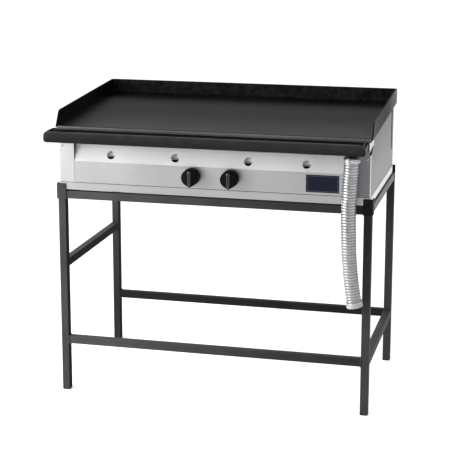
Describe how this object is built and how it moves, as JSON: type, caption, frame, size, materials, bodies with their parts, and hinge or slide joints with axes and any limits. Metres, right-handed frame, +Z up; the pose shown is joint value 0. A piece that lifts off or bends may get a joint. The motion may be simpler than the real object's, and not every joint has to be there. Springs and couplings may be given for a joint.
{
  "type": "gas griddle",
  "caption": "Free-standing gas griddle: sloped steel plate with guards over a stainless burner box, on a square-tube stand, with knobs, drip gutter and ribbed drain hose.",
  "frame": {"origin": "on the floor, under the centre of the object's outline box, with the drain hose and the pieces on it left out", "axes": "+X to the right of a cook who faces the knobs, +Y to the back, +Z up"},
  "size_m": [1.023, 0.6268, 0.9468],
  "materials": {
    "stand_black": "satin powder coat",
    "plastic_black": "matt moulded",
    "rubber_pad": "matt",
    "stainless": "fine brushed",
    "fastener_steel": "bright zinc",
    "fastener_black": "satin",
    "badge_navy": "gloss printed plate, bare",
    "seasoned_steel": "seasoned carbon steel",
    "gutter_black": "satin enamel",
    "aluminium": "bright corrugated",
    "clamp_steel": "bright",
    "brass": "machined",
    "manifold_grey": "zinc plated",
    "burner_steel": "heat-tinted",
    "knob_black": "gloss moulded"
  },
  "bodies": {
    "griddle": {"leg_front_left": "stand_black", "leg_front_right": "stand_black", "leg_rear_left": "stand_black", "leg_rear_right": "stand_black", "foot_caps": "plastic_black", "top_rail_front": "stand_black", "top_rail_rear": "stand_black", "top_rail_left": "stand_black", "top_rail_right": "stand_black", "bottom_rail_front": "stand_black", "bottom_rail_rear": "stand_black", "low_side_bar_right": "stand_black", "mid_side_bar_left": "stand_black", "corner_stop_front_left": "stand_black", "corner_stop_front_right": "stand_black", "rear_stop_left": "stand_black", "rear_stop_right": "stand_black", "stop_screws": "fastener_black", "body_pads": "rubber_pad", "base_strip_front": "stainless", "base_strip_rear": "stainless", "base_strip_left": "stainless", "base_strip_right": "stainless", "side_panel_left": "stainless", "side_panel_right": "stainless", "front_panel": "stainless", "front_baffle": "stainless", "rear_panel": "stainless", "panel_screws": "fastener_steel", "badge_plate": "badge_navy", "griddle_plate": "seasoned_steel", "rear_guard": "seasoned_steel", "side_guard_left": "seasoned_steel", "side_guard_right": "seasoned_steel", "plate_stiffeners": "seasoned_steel", "gutter_trough": "gutter_black", "gutter_end_left": "gutter_black", "gutter_end_right": "gutter_black", "gutter_hooks": "gutter_black", "drain_spout": "gutter_black", "hose_clamp_band": "clamp_steel", "hose_clamp_screw": "fastener_steel", "drain_hose": "aluminium", "hose_end_cuff": "aluminium", "gas_manifold": "manifold_grey", "manifold_brackets": "manifold_grey", "gas_inlet_tail": "brass", "valve_body_left": "brass", "valve_body_right": "brass", "injectors": "brass", "burner_left": "burner_steel", "burner_right": "burner_steel", "burner_support_front": "burner_steel", "burner_support_rear": "burner_steel"},
    "left_push_unit": {"push_collar_left": "fastener_steel"},
    "left_knob_unit": {"valve_spindle_left": "fastener_steel", "knob_left": "knob_black"},
    "right_push_unit": {"push_collar_right": "fastener_steel"},
    "right_knob_unit": {"valve_spindle_right": "fastener_steel", "knob_right": "knob_black"}
  },
  "joints": [
    {"name": "left_knob_push", "type": "slide", "parent": "griddle", "child": "left_push_unit", "axis": [0, 1, 0], "range_m": [0, 0.003], "stiffness_N_per_m": 1500, "springref_m": -0.003},
    {"name": "left_knob_turn", "type": "hinge", "parent": "left_push_unit", "child": "left_knob_unit", "pos_m": [-0.0515, -0.2676, 0.732], "axis": [0, -1, 0], "range_deg": [0, 180]},
    {"name": "right_knob_push", "type": "slide", "parent": "griddle", "child": "right_push_unit", "axis": [0, 1, 0], "range_m": [0, 0.003], "stiffness_N_per_m": 1500, "springref_m": -0.003},
    {"name": "right_knob_turn", "type": "hinge", "parent": "right_push_unit", "child": "right_knob_unit", "pos_m": [0.0715, -0.2676, 0.732], "axis": [0, -1, 0], "range_deg": [0, 180]}
  ]
}
